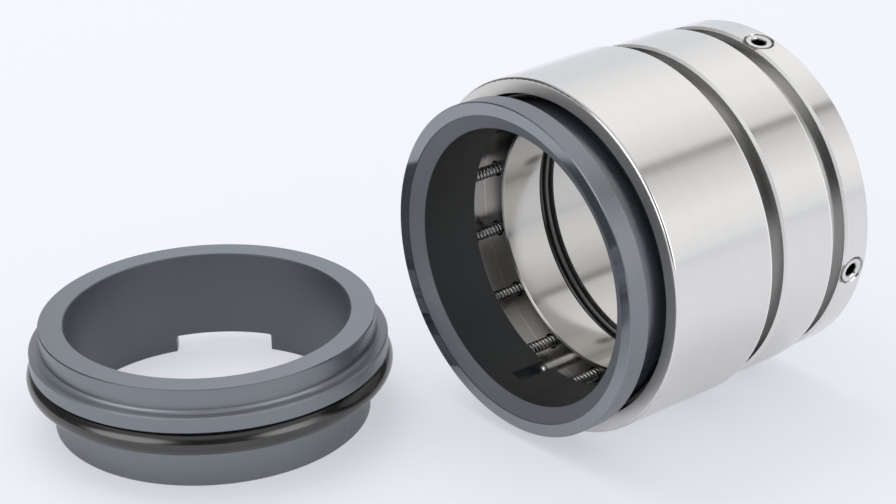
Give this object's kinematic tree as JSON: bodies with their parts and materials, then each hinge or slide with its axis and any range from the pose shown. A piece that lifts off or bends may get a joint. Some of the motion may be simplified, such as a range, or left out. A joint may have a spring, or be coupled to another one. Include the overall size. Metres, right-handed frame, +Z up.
{
  "type": "mechanical seal",
  "caption": "Mechanical shaft seal in two halves: a steel-cased rotating head with a spring-loaded silicon carbide face, and a stationary silicon carbide seat with an O-ring.",
  "frame": {"origin": "on the shaft axis of the head, in the plane of the set screws", "axes": "+X along the shaft axis from the sealing face to the set-screw collar, +Z up, both halves resting on the plane z = -0.043 m"},
  "size_m": [0.164, 0.1468, 0.086],
  "materials": {
    "casing_steel": "turned, satin",
    "silicon_carbide": "lapped faces, ground sides",
    "rubber": "moulded, slightly shiny",
    "spring_steel": "drawn wire",
    "pin_steel": "ground",
    "screw_steel": "machined"
  },
  "bodies": {
    "casing_and_seat": {"casing": "casing_steel", "shaft_o_ring": "rubber", "drive_pin_1": "pin_steel", "drive_pin_2": "pin_steel", "spring_01": "spring_steel", "spring_02": "spring_steel", "spring_03": "spring_steel", "spring_04": "spring_steel", "spring_05": "spring_steel", "spring_06": "spring_steel", "spring_07": "spring_steel", "spring_08": "spring_steel", "spring_09": "spring_steel", "spring_10": "spring_steel", "spring_11": "spring_steel", "spring_12": "spring_steel", "spring_13": "spring_steel", "spring_14": "spring_steel", "set_screws": "screw_steel", "seat_ring": "silicon_carbide", "seat_o_ring": "rubber"},
    "sliding_face": {"face_ring": "silicon_carbide", "face_o_ring": "rubber"}
  },
  "joints": [
    {"name": "face_slide", "type": "slide", "parent": "casing_and_seat", "child": "sliding_face", "axis": [1, 0, 0], "range_m": [0, 0.004], "stiffness_N_per_m": 50000, "deforming": ["spring_01", "spring_02", "spring_03", "spring_04", "spring_05", "spring_06", "spring_07", "spring_08", "spring_09", "spring_10", "spring_11", "spring_12", "spring_13", "spring_14"]}
  ]
}
